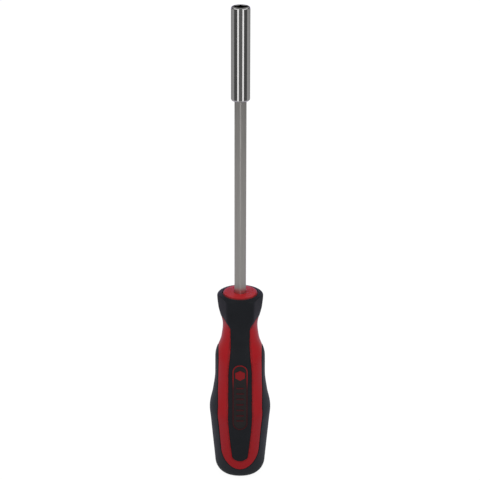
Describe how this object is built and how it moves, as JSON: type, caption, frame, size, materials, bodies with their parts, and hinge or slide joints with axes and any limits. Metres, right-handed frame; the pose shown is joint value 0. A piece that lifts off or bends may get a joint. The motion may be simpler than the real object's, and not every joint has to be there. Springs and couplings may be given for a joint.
{
  "type": "bit holder screwdriver",
  "caption": "Screwdriver with a magnetic hex bit socket on a slim hex shaft, in a waisted handle with soft black grips let into a red core.",
  "frame": {"origin": "centre of the pommel's flat base, on the axis of the shaft", "axes": "+Z along the shaft from the pommel to the tip; -Y is the front, with the badge; +X is to the right seen from the front"},
  "size_m": [0.0348, 0.033, 0.275],
  "materials": {
    "polished_stainless": "polished along its length",
    "satin_steel": "satin, ground hexagonal bar",
    "magnet_nickel": "nickel plated",
    "spring_steel": "drawn wire",
    "dark_hard_plastic": "moulded, hidden",
    "red_hard_plastic": "semi gloss, moulded",
    "soft_black_grip": "matt, fine moulded texture",
    "soft_black_pommel": "matt, fine moulded texture",
    "badge_red": "satin, moulded",
    "badge_dark": "matt, moulded"
  },
  "bodies": {
    "root": {"bit_sleeve": "polished_stainless", "shaft": "satin_steel", "magnet": "magnet_nickel", "retaining_ring": "spring_steel", "inner_core": "dark_hard_plastic", "handle_core": "red_hard_plastic", "upper_grip": "soft_black_grip", "lower_grip": "soft_black_pommel", "badge_plate": "badge_red", "badge_panel": "badge_dark"}
  },
  "joints": []
}
